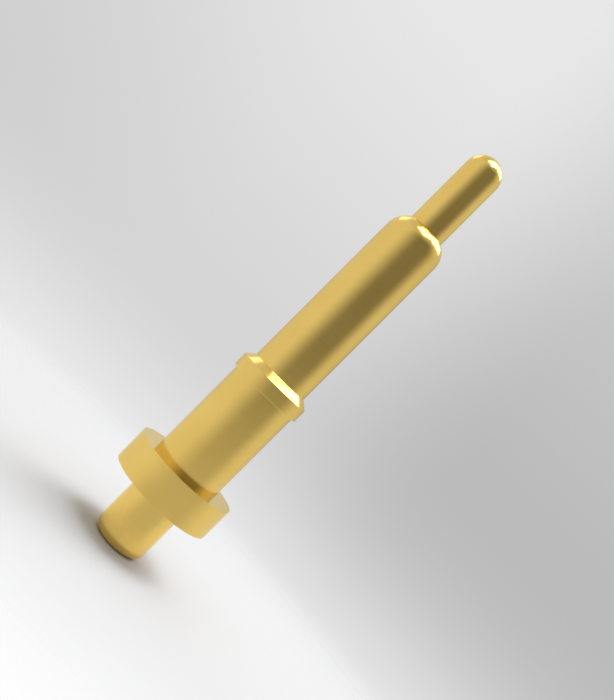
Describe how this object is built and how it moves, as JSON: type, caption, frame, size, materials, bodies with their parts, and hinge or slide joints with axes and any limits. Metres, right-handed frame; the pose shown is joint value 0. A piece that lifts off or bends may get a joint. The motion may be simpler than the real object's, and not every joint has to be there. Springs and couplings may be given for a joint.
{
  "type": "pogo pin",
  "caption": "Spring-loaded contact pin: flanged barrel with solder tail and press ring, rolled nose and a round-tipped plunger sliding against an inner spring.",
  "frame": {"origin": "centre of the flange's underside, the board seat, where the solder tail begins", "axes": "+Z along the pin's axis, from the tail to the plunger's tip; X and Y are free round the axis"},
  "size_m": [0.0028, 0.0026, 0.0122],
  "materials": {
    "gold_plate": "gold plating over turned brass, satin to polished",
    "spring_steel": "bright drawn wire"
  },
  "bodies": {
    "barrel": {"barrel": "gold_plate"},
    "spring": {"spring": "spring_steel"},
    "plunger": {"plunger": "gold_plate"}
  },
  "joints": [
    {"name": "plunger_turn", "type": "hinge", "parent": "barrel", "child": "spring", "pos_m": [0, 0, 0.003], "axis": [0, 0, 1], "continuous": true},
    {"name": "plunger_slide", "type": "slide", "parent": "spring", "child": "plunger", "axis": [0, 0, -1], "range_m": [0, 0.0018], "stiffness_N_per_m": 800, "springref_m": -0.0005, "deforming": ["spring"]}
  ]
}
